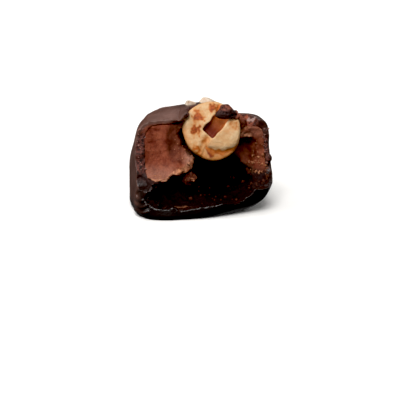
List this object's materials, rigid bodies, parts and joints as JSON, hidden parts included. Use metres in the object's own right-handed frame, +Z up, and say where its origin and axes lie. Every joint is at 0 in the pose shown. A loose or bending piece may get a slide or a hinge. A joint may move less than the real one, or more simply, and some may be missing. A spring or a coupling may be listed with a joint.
{
  "type": "hazelnut praline chocolate",
  "caption": "Bitten praline chocolate: a domed dark coating round a soft praline filling, with a whole roasted hazelnut bared in the bite.",
  "frame": {"origin": "middle of the flat base, at the level it rests on", "axes": "+Z up, +X to the right as the bite is faced, +Y away from the bite, which opens towards -Y"},
  "size_m": [0.0322, 0.024, 0.0256],
  "materials": {
    "dark_chocolate": "satin dark chocolate coating, granular and matt where broken",
    "praline": "soft hazelnut praline, smooth where scraped and crumbly where torn",
    "roasted_nut": "roasted blanched kernel, cream with toasted spots"
  },
  "bodies": {
    "root": {"chocolate_shell": "dark_chocolate", "praline_filling": "praline", "hazelnut": "roasted_nut"}
  },
  "joints": []
}
